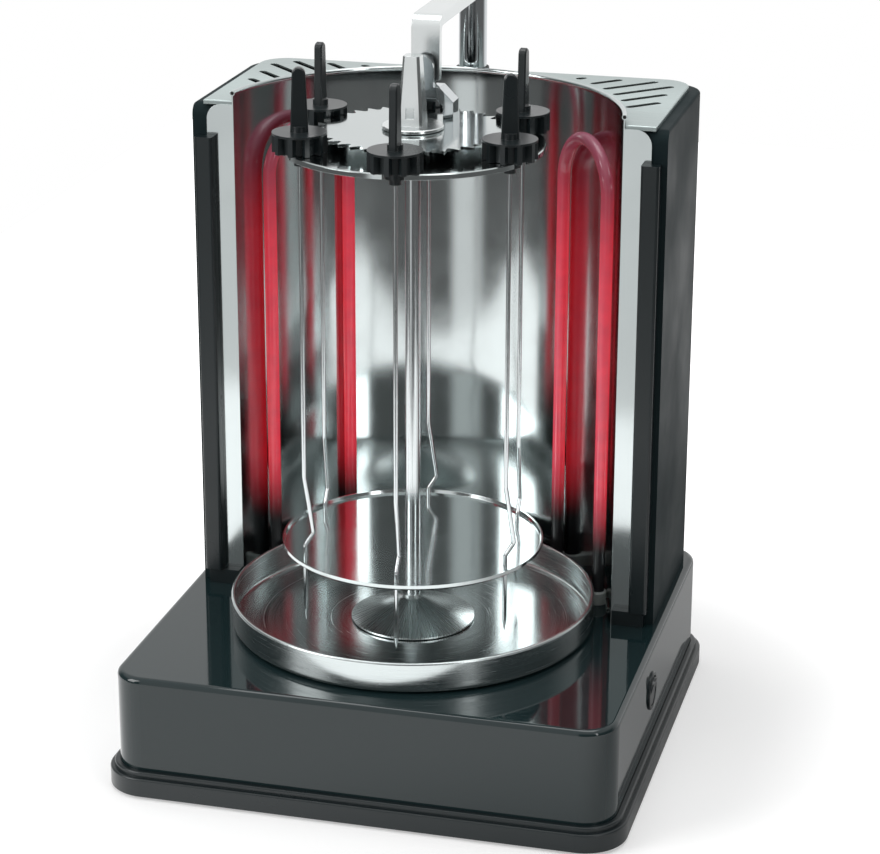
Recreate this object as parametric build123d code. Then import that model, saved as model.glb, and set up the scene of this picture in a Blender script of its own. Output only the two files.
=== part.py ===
"""Table-top electric skewer grill: base, hot tower, turning spit and six geared skewers.

Everything is set out from the vertical spit axis, with +Y to the back, and moved
to the row frame when it is written: origin under the middle of the footprint, +Z up.
"""
from build123d import *
import math
import os

# ---- driving dimensions, mm; plan distances are from the spit axis ----
# Reflector, which the tower and base are set out from
WALL_RADIUS = 116.0
WALL_Y = 8.0
# Base body
BODY_SIDE_GAP = 6.0
BODY_FRONT = 124.7
BODY_BACK_GAP = 1.2
BODY_TOP = 73.0
BODY_CORNER = 19.0
BODY_EDGE = 3.5
BODY_WALL = 2.5
# Skirt and floor under the body
FLOOR_LOW = 2.0
FLOOR_THICK = 2.5
SKIRT_OUT = 6.0
SKIRT_LEDGE = 13.0
SKIRT_STEP = 2.6
SKIRT_TOP = 16.2
SKIRT_ROUND = 1.2
SKIRT_WALL = 1.8
SKIRT_FIT = 0.2
FLOOR_VENTS = 7
FLOOR_VENT_PITCH = 9.0
FLOOR_VENT_LENGTH = 46.0
FLOOR_VENT_WIDTH = 4.0
# Feet and floor screws
FOOT_RADIUS = 10.0
FOOT_STEM = 3.0
FOOT_HEAD = 4.4
FOOT_HEAD_THICK = 1.8
FOOT_BARB = 2.1
FOOT_INSET = 30.0
SCREW_SHANK = 1.5
SCREW_HEAD = 3.2
SCREW_HEAD_THICK = 1.5
SCREW_SLOT_LENGTH = 3.84
SCREW_SLOT_WIDTH = 0.8
SCREW_LENGTH = 14.0
SCREW_INSET = 13.0
SCREW_MIDDLE = 46.0
POST_RADIUS = 4.2
# Drip tray
TRAY_WALL_GAP = 8.4
TRAY_RIM = 92.0
TRAY_SHEET = 1.0
TRAY_BEAD = 1.3
TRAY_CORNER = 4.0
TRAY_COLLAR = 16.0
TRAY_COLLAR_TOP = 81.0
# Turning spit
SHAFT_RADIUS = 4.5
SHAFT_TOP = 394.0
SHAFT_TIP = 7.0
CONE_RADIUS = 36.5
CONE_NECK = 6.2
CONE_TOP = 89.5
CONE_SHEET = 1.0
CONE_LIFT = 0.6
PUSH_FIT = 0.02
LOWER_DISC_RADIUS = 76.7
LOWER_DISC_TOP = 126.0
UPPER_DISC_RADIUS = 75.0
UPPER_DISC_TOP = 363.7
DISC_SHEET = 1.2
DISC_LIP = 3.2
DISC_BOSS = 12.0
# Skewers
FULL_TURN_ANGLE = 360.0
SKEWERS = 6
SKEWER_CIRCLE = 67.3
SKEWER_START_ANGLE = 157.0
ROD_RADIUS = 1.25
ROD_TIP = 83.0
ROD_POINT = 7.0
ROD_HOLE = 1.6
KINK_TOP = 172.0
KINK_APEX = 138.0
KINK_FOOT = 130.0
KINK_OUT = 5.0
KINK_BEND = 3.0
# Skewer heads and gears
GEAR_MODULE = 2.804
SUN_TEETH = 38
PINION_TEETH = 10
SUN_SHEET = 1.8
SUN_LOW = 369.2
SUN_PHASE_ANGLE = 0.0
PINION_TIP = 15.3
PINION_ROOT = 11.4
PINION_TOOTH_ROOT = 4.0
PINION_TOOTH_TIP = 2.8
TOOTH_OUT = 0.7
TOOTH_IN = 1.15
TOOTH_HALF = 0.38
TOOTH_LAND = 0.05
PINION_HEIGHT = 10.1
FLANGE_THICK = 1.2
HEAD_LIFT = 0.3
HEAD_HUB = 6.0
HEAD_HUB_DROP = 4.4
HEAD_HUB_FIT = 0.08
HEAD_STEP = 3.25
HEAD_STEP_DROP = 3.4
HANDLE_HEIGHT = 36.0
HANDLE_WIDTH = 10.0
HANDLE_TOP_WIDTH = 7.4
HANDLE_THICK = 4.6
HANDLE_BOSS = 4.4
HANDLE_BOSS_HEIGHT = 3.2
HANDLE_EDGE = 0.7
HANDLE_EDGE_ANGLE = 80.0
HANDLE_FACE_ANGLE = 20.0
HANDLE_FACE_SHARE = 0.4
# Hub on top of the spit
HUB_TOP = 412.5
HUB_TOP_WIDTH = 9.5
HUB_WIDTH = 12.6
HUB_BLOCK_WIDTH = 14.0
HUB_BLOCK_TOP = 388.0
HUB_NECK = 9.0
HUB_CHAMFER = 1.4
HUB_RECESS_SHAPE = 1.3
COLLAR_RADIUS = 17.5
COLLAR_THICK = 2.2
RUN_GAP = 0.3
# Arm and the yoke that it holds
ARM_WALL_GAP = 14.6
ARM_POST = 8.5
ARM_POST_LOW = 292.0
ARM_LOW = 423.0
ARM_THICK = 6.5
ARM_WIDTH = 16.4
ARM_FRONT = 27.0
ARM_DROP_THICK = 5.0
ARM_DROP_LOW = 393.0
ARM_BEND = 8.0
ARM_EYE = 11.0
ARM_SPIGOT = 5.1
TONGUE_WIDTH = 9.0
TONGUE_TOP_WIDTH = 14.4
TONGUE_THICK = 3.4
TONGUE_DROP = 7.0
ARM_FIT = 0.3
GUIDE_FIT = 0.08
GUIDE_WALL = 1.4
GUIDE_LENGTH = 82.0
GUIDE_FLANGE = 25.0
RING_TOP = 377.8
RING_ROUND = 0.84
CAP_RADIUS = 7.5
CAP_HEIGHT = 5.5
CAP_DOME = 4.4
YOKE_WIDTH = 36.5
YOKE_LEG = 6.0
YOKE_FRONT = 19.5
YOKE_DEPTH = 12.0
YOKE_TOP = 390.5
YOKE_BRIDGE = 6.5
YOKE_SHOULDER = 8.0
YOKE_TAB_WIDTH = 13.0
YOKE_TAB_THICK = 4.0
YOKE_TAB_TOP = 408.0
# Tower
TOWER_SIDE_GAP = 24.0
TOWER_FRONT = 26.5
TOWER_BACK_GAP = 27.5
TOWER_TOP = 371.3
TOWER_WALL = 2.2
TOWER_CORNER = 20.0
TOWER_NOSE = 7.0
TOWER_RETURN = 12.5
TOWER_EDGE = 1.6
LEDGE_THICK = 2.0
LEDGE_WIDTH = 14.0
TOWER_VENTS = 9
TOWER_VENT_PITCH = 12.0
TOWER_VENT_HEIGHT = 34.0
TOWER_VENT_WIDTH = 4.0
TOWER_VENT_TOP = 352.0
# Reflector sheet
WALL_SHEET = 0.8
WALL_RIM = 380.0
WALL_BEAD = 1.5
FLANGE_TOP = 371.8
FLANGE_SIDE_GAP = 9.0
FLANGE_CORNER = 9.0
# Top plate
PLATE_SIDE_GAP = 7.0
PLATE_BACK_GAP = 2.6
PLATE_SHEET = 1.2
PLATE_HEIGHT = 2.6
PLATE_EDGE = 0.8
PLATE_CORNER = 17.0
PLATE_FIT = 0.2
SLOTS = 6
SLOT_WIDTH = 4.6
SLOT_PITCH = 15.4
SLOT_FIRST = 27.0
SLOT_RIM_GAP = 8.0
SLOT_RIM_STEP = 3.8
SLOT_EDGE_GAP = 8.5
# Trim strips
STRIP_WIDTH = 10.6
STRIP_SIDE_GAP = 3.2
STRIP_DEPTH = 7.0
STRIP_LOW = 82.0
STRIP_TOP = 353.0
STRIP_ROUND = 1.6
STRIP_FOOT_INSET = 2.0
# Heaters
HEATER_RADIUS = 3.8
HEATER_WALL_GAP = 5.5
HEATER_ANGLES = (23.0, 53.0)
HEATER_TOP = 356.5
HEATER_LOW = 58.0
HEATER_HOLE = 4.7
BUSH_RADIUS = 5.3
BUSH_HEIGHT = 8.0
BUSH_LIP = 0.8
# Drive
MOTOR_RADIUS = 25.0
MOTOR_HEIGHT = 20.0
GEARBOX_RADIUS = 15.5
MOTOR_TOP = 57.0
MOTOR_EAR = 33.0
MOTOR_PLATE = 2.0
MOTOR_SHAFT = 4.0
MOTOR_FIT = 0.05
COUPLING_RADIUS = 10.0
COUPLING_LOW = 60.0
COUPLING_TOP = 79.0
COUPLING_FLOOR = 4.0
COUPLING_MOUTH = 6.0
COUPLING_EDGE = 0.9
DRIVE_HOLE = 12.0
DRIVE_COLLAR_WALL = 1.8
DRIVE_COLLAR_TOP = 78.0
# Rocker switch on the right wall
SWITCH_Y = -6.4
SWITCH_Z = 46.0
SWITCH_TILT_ANGLE = 7.0
BEZEL_RADIUS = 11.4
BEZEL_THICK = 1.2
BEZEL_EDGE = 0.5
SWITCH_BODY = 10.0
SWITCH_DEPTH = 14.0
SWITCH_FIT = 0.1
ROCKER_RADIUS = 8.2
ROCKER_BORE = 9.1
ROCKER_BACK = 3.0
ROCKER_END = 1.9
ROCKER_DIP = 0.9
ROCKER_ROOM = 4.6
ROCKER_PIN = 1.2
ROCKER_PIN_END = 9.8
BLADE_WIDTH = 4.8
BLADE_THICK = 0.8
BLADE_LENGTH = 7.0
BLADE_PITCH = 6.5
# Electrics in the base
GLAND_X = -84.0
GLAND_Z = 34.0
GLAND_BORE = 3.6
GLAND_BODY = 7.0
GLAND_FLANGE = 10.0
GLAND_FLANGE_THICK = 2.475
GLAND_OUT = 5.5
GLAND_IN = 12.0
BLOCK_LENGTH = 44.0
BLOCK_DEPTH = 17.0
BLOCK_HEIGHT = 14.0
CUTOUT_RADIUS = 8.0
CUTOUT_HEIGHT = 9.0
CUTOUT_RIM = 10.0
CUTOUT_TAB_DROP = 14.4
CUTOUT_X = 40.0
CUTOUT_Y = 92.0

# ---- values worked out from the driving dimensions ----
WALL_BACK = WALL_Y + WALL_RADIUS
TOWER_HALF = WALL_RADIUS + TOWER_SIDE_GAP
TOWER_BACK = WALL_BACK + TOWER_BACK_GAP
BODY_HALF = TOWER_HALF + BODY_SIDE_GAP
BODY_WIDTH = 2 * BODY_HALF
BODY_BACK = TOWER_BACK + BODY_BACK_GAP
PLATE_HALF = TOWER_HALF - PLATE_SIDE_GAP
FLANGE_OUT = TOWER_HALF - FLANGE_SIDE_GAP
STRIP_OUTER = TOWER_HALF - STRIP_SIDE_GAP
HEATER_CIRCLE = WALL_RADIUS - HEATER_WALL_GAP
TRAY_RADIUS = WALL_RADIUS - TRAY_WALL_GAP
ARM_Y = WALL_BACK + ARM_WALL_GAP
FLOOR_TOP = FLOOR_LOW + FLOOR_THICK
CEILING = BODY_TOP - BODY_WALL
TRAY_FLOOR = BODY_TOP + TRAY_SHEET
CONE_LOW = TRAY_FLOOR + CONE_LIFT
HEAD_LOW = UPPER_DISC_TOP + HEAD_LIFT
HEAD_TOP = HEAD_LOW + PINION_HEIGHT + FLANGE_THICK
SHAFT_LOW = COUPLING_LOW + COUPLING_FLOOR
SHAFT_SHOULDER = COUPLING_TOP - COUPLING_MOUTH
SUN_TOP = SUN_LOW + SUN_SHEET
SUN_PITCH = GEAR_MODULE * SUN_TEETH / 2
PINION_PITCH = GEAR_MODULE * PINION_TEETH / 2
SUN_TIP = SUN_PITCH + TOOTH_OUT * GEAR_MODULE
SUN_ROOT = SUN_PITCH - TOOTH_IN * GEAR_MODULE
COLLAR_LOW = SUN_TOP + RUN_GAP
COLLAR_TOP = COLLAR_LOW + COLLAR_THICK
BOSS_TOP = SUN_LOW - RUN_GAP
PLATE_LOW = TOWER_TOP
PLATE_TOP = PLATE_LOW + PLATE_HEIGHT
PLATE_BACK = TOWER_BACK - PLATE_BACK_GAP
FLANGE_FACE = TOWER_FRONT - WALL_SHEET
GUIDE_RADIUS = ARM_POST + GUIDE_FIT + GUIDE_WALL
GUIDE_LOW = PLATE_LOW - GUIDE_LENGTH
TONGUE_Y = ARM_FRONT + ARM_DROP_THICK / 2
ROW = Pos(0, (BODY_FRONT - BODY_BACK) / 2, 0)
UP = (Align.CENTER, Align.CENTER, Align.MIN)


# ---- shared forms ----
def disc(radius, low, high):
    """Round upright solid between two heights."""
    return Pos(0, 0, low) * Cylinder(radius, high - low, align=UP)


def ring(outer, inner, low, high):
    """Round upright solid with a bore right through."""
    return disc(outer, low, high) - disc(inner, low, high)


def brick(left, right, front, back, low, high):
    """Box given by its six faces."""
    corner = (Align.MIN, Align.MIN, Align.MIN)
    return Pos(left, front, low) * Box(right - left, back - front, high - low, align=corner)


def body_block(grow, low, high):
    """The base's plan, grown all round, with its four upright corners rounded."""
    plan = RectangleRounded(BODY_WIDTH + 2 * grow, BODY_FRONT + BODY_BACK + 2 * grow, BODY_CORNER + grow)
    return Pos(0, (BODY_BACK - BODY_FRONT) / 2, low) * extrude(plan, high - low)


def tower_block(half, front, back, low, high, corner):
    """Upright block whose two rear corners are rounded."""
    block = brick(-half, half, front, back, low, high)
    rear = block.edges().filter_by(Axis.Z).sort_by(Axis.Y)[-2:]
    return fillet(rear, corner)


def turned(*points):
    """Solid of revolution about the spit axis from (radius, height) corners."""
    face = make_face(Polyline(*[(r, 0, z) for r, z in points], close=True))
    return revolve(face, Axis.Z)


def around(shape, count, start=0.0):
    """Equally spaced copies of a shape about the spit axis."""
    return [Rot(0, 0, start + FULL_TURN_ANGLE * i / count) * shape for i in range(count)]


def top_edges(solid):
    """Edges round a solid's highest flat face."""
    return solid.faces().sort_by(Axis.Z)[-1].edges()


def body_corners(inset):
    """Plan points near the base's four corners."""
    x = BODY_HALF - inset
    return [(sx * x, y) for sx in (-1, 1) for y in (inset - BODY_FRONT, BODY_BACK - inset)]


def screw_points():
    """Plan points of the floor screws: four corners and the middle of two sides."""
    x = BODY_HALF - SCREW_INSET
    return body_corners(SCREW_INSET) + [(-x, SCREW_MIDDLE), (x, SCREW_MIDDLE)]


def screw(length):
    """Pan-head screw with its head down and a cross slot, seated at height zero."""
    head = disc(SCREW_HEAD, -SCREW_HEAD_THICK, 0)
    head = chamfer(head.edges().sort_by(Axis.Z)[0], SCREW_HEAD_THICK / 3)
    slot = Box(SCREW_SLOT_LENGTH, SCREW_SLOT_WIDTH, SCREW_HEAD_THICK)
    cross = Pos(0, 0, -SCREW_HEAD_THICK) * (slot + Rot(0, 0, 90) * slot)
    return head + disc(SCREW_SHANK, 0, length) - cross


# ---- base ----
def base_floor():
    """Skirt with its stepped bead, and the vented floor that closes the base."""
    skirt = fillet(top_edges(body_block(SKIRT_OUT, FLOOR_LOW, SKIRT_LEDGE)), SKIRT_ROUND)
    bead = body_block(SKIRT_OUT - SKIRT_STEP, FLOOR_LOW, SKIRT_TOP)
    skirt += fillet(top_edges(bead), SKIRT_ROUND)
    skirt -= body_block(SKIRT_FIT, FLOOR_TOP, SKIRT_TOP)
    groove = body_block(SKIRT_OUT - SKIRT_WALL, FLOOR_LOW, SKIRT_LEDGE - SKIRT_WALL)
    skirt -= groove - body_block(SKIRT_WALL, FLOOR_LOW, SKIRT_LEDGE)
    vent = SlotOverall(FLOOR_VENT_LENGTH, FLOOR_VENT_WIDTH, rotation=90)
    for i in range(FLOOR_VENTS):
        x = (i - (FLOOR_VENTS - 1) / 2) * FLOOR_VENT_PITCH
        skirt -= Pos(x, MOTOR_EAR + FLOOR_VENT_LENGTH / 2, FLOOR_LOW) * extrude(vent, FLOOR_THICK)
    for x, y in body_corners(FOOT_INSET):
        skirt -= Pos(x, y, 0) * disc(FOOT_STEM, FLOOR_LOW, FLOOR_TOP)
    for x, y in screw_points():
        skirt -= Pos(x, y, 0) * disc(SCREW_SHANK, FLOOR_LOW, FLOOR_TOP)
        skirt -= Pos(x, y, 0) * disc(SCREW_HEAD + SKIRT_FIT, 0, FLOOR_LOW + SCREW_HEAD_THICK)
    return skirt


def base_housing():
    """Glossy moulded cover of the base with its inner bosses and openings."""
    cover = fillet(top_edges(body_block(0, FLOOR_TOP, BODY_TOP)), BODY_EDGE)
    cover -= body_block(-BODY_WALL, FLOOR_TOP, CEILING)
    for x, y in screw_points():
        cover += Pos(x, y, 0) * disc(POST_RADIUS, FLOOR_TOP, CEILING)
        hole_top = FLOOR_LOW + SCREW_HEAD_THICK + SCREW_LENGTH
        cover -= Pos(x, y, 0) * disc(SCREW_SHANK, FLOOR_TOP, hole_top)
    for side in (-1, 1):
        cover += Pos(side * MOTOR_EAR, 0, 0) * disc(POST_RADIUS, MOTOR_TOP, CEILING)
        hole_top = MOTOR_TOP + SCREW_LENGTH - POST_RADIUS
        cover -= Pos(side * MOTOR_EAR, 0, 0) * disc(SCREW_SHANK, MOTOR_TOP, hole_top)
    cover += disc(DRIVE_HOLE + DRIVE_COLLAR_WALL, CEILING, DRIVE_COLLAR_TOP)
    cover -= disc(DRIVE_HOLE, CEILING, DRIVE_COLLAR_TOP)
    for x, y in heater_feet():
        cover -= Pos(x, y, 0) * disc(HEATER_HOLE, CEILING, BODY_TOP)
    cover -= on_right_wall(Cylinder(SWITCH_BODY + PUSH_FIT, 4 * BODY_WALL))
    cover -= Pos(GLAND_X, BODY_BACK, GLAND_Z) * Rot(90, 0, 0) * Cylinder(GLAND_BODY, 4 * BODY_WALL)
    return cover


def base_feet():
    """Four push-in rubber feet."""
    feet = []
    for x, y in body_corners(FOOT_INSET):
        pad = disc(FOOT_RADIUS, 0, FLOOR_LOW)
        pad = fillet(pad.edges().sort_by(Axis.Z)[0], FLOOR_LOW / 3)
        plug = disc(FOOT_STEM, FLOOR_LOW, FLOOR_TOP)
        head = Pos(0, 0, FLOOR_TOP) * Cone(FOOT_HEAD, FOOT_BARB, FOOT_HEAD_THICK, align=UP)
        feet.append(Pos(x, y, 0) * (pad + plug + head))
    return Compound(feet)


def floor_screws():
    """Six screws that hold the floor to the base's bosses."""
    seat = FLOOR_LOW + SCREW_HEAD_THICK
    return Compound([Pos(x, y, seat) * screw(SCREW_LENGTH) for x, y in screw_points()])


# ---- drive ----
def drive_motor():
    """Slow geared motor with a stepped can and a two-eared plate under the bosses."""
    low = MOTOR_TOP - MOTOR_HEIGHT
    can = fillet(disc(MOTOR_RADIUS, low, MOTOR_TOP).edges().sort_by(Axis.Z)[0], 2 * MOTOR_PLATE)
    gearbox = disc(GEARBOX_RADIUS, low - MOTOR_HEIGHT / 2, low)
    ears = SlotOverall(2 * (MOTOR_EAR + POST_RADIUS), 2 * POST_RADIUS)
    plate = Pos(0, 0, MOTOR_TOP - MOTOR_PLATE) * extrude(ears, MOTOR_PLATE)
    motor = can + gearbox + plate
    for side in (-1, 1):
        motor -= Pos(side * MOTOR_EAR, 0, 0) * disc(SCREW_SHANK, low, MOTOR_TOP)
    return motor - disc(MOTOR_SHAFT + MOTOR_FIT, MOTOR_TOP - MOTOR_HEIGHT / 2, MOTOR_TOP)


def motor_screws():
    """Two screws that hold the motor's ears to the bosses."""
    length = MOTOR_PLATE + SCREW_LENGTH - 2 * POST_RADIUS
    return Compound([Pos(s * MOTOR_EAR, 0, MOTOR_TOP - MOTOR_PLATE) * screw(length) for s in (-1, 1)])


def drive_coupling():
    """Socket on the motor's shaft with a square seat for the spit's tip."""
    shaft = disc(MOTOR_SHAFT, MOTOR_TOP - MOTOR_HEIGHT / 2, COUPLING_LOW)
    cup = disc(COUPLING_RADIUS, COUPLING_LOW, COUPLING_TOP)
    cup = chamfer(top_edges(cup), COUPLING_EDGE)
    side = SHAFT_TIP + 2 * PUSH_FIT
    seat = Pos(0, 0, SHAFT_LOW) * Box(side, side, COUPLING_TOP - SHAFT_LOW, align=UP)
    return shaft + cup - seat - disc(SHAFT_RADIUS + PUSH_FIT, SHAFT_SHOULDER, COUPLING_TOP)


def spit_shaft():
    """Round steel bar with a square tip at the foot."""
    bar = disc(SHAFT_RADIUS, SHAFT_SHOULDER, SHAFT_TOP)
    bar = chamfer(top_edges(bar), SHAFT_RADIUS / 8)
    tip = Pos(0, 0, SHAFT_LOW) * Box(SHAFT_TIP, SHAFT_TIP, SHAFT_SHOULDER - SHAFT_LOW, align=UP)
    return bar + chamfer(tip.faces().sort_by(Axis.Z)[0].edges(), SHAFT_TIP / 10)


def drip_cone():
    """Thin flared cone that keeps drips off the drive, with a neck on the shaft."""
    bore = SHAFT_RADIUS + PUSH_FIT
    rise = CONE_TOP - 2 * CONE_SHEET
    outer = [(CONE_RADIUS, CONE_LOW), (CONE_RADIUS, CONE_LOW + CONE_SHEET)]
    outer += [(CONE_NECK, rise), (CONE_NECK, CONE_TOP)]
    inner = [(bore, CONE_TOP), (bore, rise - CONE_SHEET), (CONE_RADIUS - 2 * CONE_SHEET, CONE_LOW)]
    return turned(*outer, *inner)


def lower_disc():
    """Shallow dish on the shaft with a hole under each skewer."""
    bore = SHAFT_RADIUS + PUSH_FIT
    low = LOWER_DISC_TOP - DISC_LIP
    plate = turned(
        (bore, low), (LOWER_DISC_RADIUS - DISC_SHEET, low), (LOWER_DISC_RADIUS, low + DISC_SHEET),
        (LOWER_DISC_RADIUS, LOWER_DISC_TOP), (LOWER_DISC_RADIUS - DISC_SHEET, LOWER_DISC_TOP),
        (LOWER_DISC_RADIUS - DISC_SHEET - DISC_SHEET / 2, low + DISC_SHEET), (bore, low + DISC_SHEET),
    )
    plate += ring(bore + 2 * DISC_SHEET, bore, low - 2 * DISC_SHEET, low)
    hole = Pos(SKEWER_CIRCLE, 0, 0) * disc(ROD_HOLE, low, LOWER_DISC_TOP)
    return plate - around(hole, SKEWERS, SKEWER_START_ANGLE)


def upper_disc():
    """Disc with a turned-down lip, a boss under the gear and an open seat for each head."""
    bore = SHAFT_RADIUS + PUSH_FIT
    low = UPPER_DISC_TOP - DISC_SHEET
    radius, top, lip = UPPER_DISC_RADIUS, UPPER_DISC_TOP, UPPER_DISC_TOP - DISC_LIP
    plate = turned(
        (bore, low), (radius - DISC_SHEET, low), (radius - DISC_SHEET, lip), (radius, lip),
        (radius, top - DISC_SHEET / 2), (radius - DISC_SHEET / 2, top), (DISC_BOSS, top),
        (DISC_BOSS, BOSS_TOP), (bore, BOSS_TOP),
    )
    slot = HEAD_HUB + HEAD_HUB_FIT
    seat = Pos(SKEWER_CIRCLE, 0, 0) * disc(slot, low - DISC_LIP, top)
    seat += brick(SKEWER_CIRCLE, radius + slot, -slot, slot, low - DISC_LIP, top)
    return plate - around(seat, SKEWERS, SKEWER_START_ANGLE)


def spit_hub():
    """Faceted tapering grip on the end of the spit, with a neck through the gear."""
    neck = disc(HUB_NECK, BOSS_TOP, COLLAR_TOP)
    base = Pos(0, 0, COLLAR_TOP) * Rectangle(HUB_BLOCK_WIDTH, HUB_BLOCK_WIDTH)
    mid = Pos(0, 0, HUB_BLOCK_TOP) * Rectangle(HUB_WIDTH, HUB_WIDTH)
    top = Pos(0, 0, HUB_TOP) * Rectangle(HUB_TOP_WIDTH, HUB_TOP_WIDTH)
    block = loft([base, mid], ruled=True) + loft([mid, top], ruled=True)
    upright = [e for e in block.edges() if abs(e.tangent_at(0.5).Z) > 0.5]
    block = chamfer(upright, HUB_CHAMFER)
    recess = HUB_BLOCK_WIDTH / 3
    middle = Pos(0, -HUB_BLOCK_WIDTH / 2, (COLLAR_TOP + HUB_BLOCK_TOP) / 2)
    block -= middle * Box(recess, HUB_CHAMFER, recess * HUB_RECESS_SHAPE)
    return block + neck - disc(SHAFT_RADIUS + PUSH_FIT, BOSS_TOP, SHAFT_TOP)


def hub_collar():
    """Round collar over the gear's hole."""
    collar = ring(COLLAR_RADIUS, HUB_NECK + PUSH_FIT, COLLAR_LOW, COLLAR_TOP)
    rim = collar.edges().filter_by(GeomType.CIRCLE).sort_by(SortBy.LENGTH)[-2:]
    return chamfer(rim, COLLAR_THICK / 5)


# ---- skewers ----
def kink_path():
    """Line of a rod from its head to its tip, with the sideways kink above the lower disc."""
    ends = [(0, 0, ROD_TIP + ROD_POINT), (0, 0, KINK_FOOT), (KINK_OUT, 0, KINK_APEX), (0, 0, KINK_TOP)]
    return FilletPolyline(*ends, (0, 0, HEAD_TOP + HANDLE_BOSS), radius=KINK_BEND)


def skewer_rod():
    """Wire rod with a kink against turning food and a ground point."""
    path = kink_path()
    wire = sweep(Pos(0, 0, ROD_TIP + ROD_POINT) * Circle(ROD_RADIUS), path=path)
    point = Pos(0, 0, ROD_TIP) * Cone(ROD_RADIUS / 8, ROD_RADIUS, ROD_POINT, align=UP)
    return wire + point


def pinion_plan():
    """Outline of the skewer's small gear: a root circle with tapering teeth."""
    tooth = Polygon(
        (PINION_ROOT / 2, -PINION_TOOTH_ROOT / 2), (PINION_ROOT, -PINION_TOOTH_ROOT / 2),
        (PINION_TIP, -PINION_TOOTH_TIP / 2), (PINION_TIP, PINION_TOOTH_TIP / 2),
        (PINION_ROOT, PINION_TOOTH_ROOT / 2), (PINION_ROOT / 2, PINION_TOOTH_ROOT / 2), align=None,
    )
    return Circle(PINION_ROOT) + around(tooth, PINION_TEETH)


def skewer_head():
    """Moulded head: gear, flange over it, hub in the disc's seat and flat handle above."""
    top = HEAD_TOP
    gear = Pos(0, 0, HEAD_LOW) * extrude(pinion_plan(), PINION_HEIGHT)
    flange = disc(PINION_TIP, top - FLANGE_THICK, top)
    hub = disc(HEAD_HUB, HEAD_LOW - HEAD_HUB_DROP, HEAD_LOW)
    step = disc(HEAD_STEP, HEAD_LOW - HEAD_HUB_DROP - HEAD_STEP_DROP, HEAD_LOW - HEAD_HUB_DROP)
    boss = disc(HANDLE_BOSS, top, top + HANDLE_BOSS_HEIGHT)
    half, tip = HANDLE_WIDTH / 2, HANDLE_TOP_WIDTH / 2
    side = Line((half, 0, top), (tip, 0, top + HANDLE_HEIGHT - tip))
    crown = ThreePointArc(side @ 1, (0, 0, top + HANDLE_HEIGHT), (-tip, 0, top + HANDLE_HEIGHT - tip))
    outline = side + crown + Line(crown @ 1, (-half, 0, top)) + Line((-half, 0, top), (half, 0, top))
    blade = extrude(make_face(outline), HANDLE_THICK / 2, both=True)
    middles = [(edge, edge @ 0.5) for edge in blade.edges()]
    rims = [edge for edge, at in middles if abs(at.Y) > HANDLE_FACE_SHARE * HANDLE_THICK and at.Z > top]
    blade = chamfer(rims, HANDLE_EDGE)
    head = gear + flange + hub + step + boss + blade
    return head - disc(ROD_RADIUS + PUSH_FIT, ROD_TIP, top + HANDLE_BOSS)


# ---- gear held by the arm ----
def sun_plan():
    """Outline of the large gear: sharp saw-like teeth round a disc."""
    step = 2 * math.pi / SUN_TEETH
    points = []
    for i in range(SUN_TEETH):
        a = i * step
        rise = ((SUN_ROOT, -TOOTH_HALF), (SUN_TIP, -TOOTH_LAND))
        fall = ((SUN_TIP, TOOTH_LAND), (SUN_ROOT, TOOTH_HALF))
        for r, at in rise + fall:
            points.append((r * math.cos(a + at * step), r * math.sin(a + at * step)))
    return make_face(Polyline(*points, close=True))


def sun_gear():
    """Sheet gear that stands still while the spit turns below it."""
    gear = Pos(0, 0, SUN_LOW) * extrude(sun_plan(), SUN_SHEET)
    return Rot(0, 0, SUN_PHASE_ANGLE) * gear - disc(HUB_NECK + RUN_GAP, SUN_LOW, SUN_TOP)


def gear_yoke():
    """Arch on the gear with sloping shoulders, a seat for the arm's tongue and a round-topped tab."""
    half, low = YOKE_WIDTH / 2, SUN_TOP
    inner, under, slope = half - YOKE_LEG, YOKE_TOP - YOKE_BRIDGE, YOKE_SHOULDER / 2
    shape = Polyline(
        (-half, 0, low), (-half, 0, YOKE_TOP - YOKE_SHOULDER), (-half + YOKE_SHOULDER, 0, YOKE_TOP),
        (half - YOKE_SHOULDER, 0, YOKE_TOP), (half, 0, YOKE_TOP - YOKE_SHOULDER), (half, 0, low),
        (inner, 0, low), (inner, 0, under - slope), (inner - slope, 0, under),
        (slope - inner, 0, under), (-inner, 0, under - slope), (-inner, 0, low), close=True,
    )
    arch = Pos(0, YOKE_FRONT + YOKE_DEPTH, 0) * extrude(make_face(shape), YOKE_DEPTH, dir=(0, -1, 0))
    tab_half = YOKE_TAB_WIDTH / 2
    spring = YOKE_TAB_TOP - tab_half
    tab = brick(-tab_half, tab_half, YOKE_FRONT, YOKE_FRONT + YOKE_TAB_THICK, under, spring)
    crown = Pos(0, YOKE_FRONT, spring) * Rot(-90, 0, 0) * Cylinder(tab_half, YOKE_TAB_THICK, align=UP)
    hole = Pos(0, TONGUE_Y, under) * Box(
        TONGUE_WIDTH + 2 * ARM_FIT, TONGUE_THICK + 2 * ARM_FIT, YOKE_BRIDGE, align=UP)
    return arch + tab + crown - hole


# ---- arm ----
def arm_post():
    """Round chrome post that slides in the guide behind the reflector."""
    post = Pos(0, ARM_Y, 0) * disc(ARM_POST, ARM_POST_LOW, ARM_LOW)
    post = chamfer(post.edges().sort_by(Axis.Z)[0], ARM_POST / 8)
    return post + Pos(0, ARM_Y, 0) * disc(ARM_SPIGOT, ARM_LOW, ARM_LOW + ARM_THICK)


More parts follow.
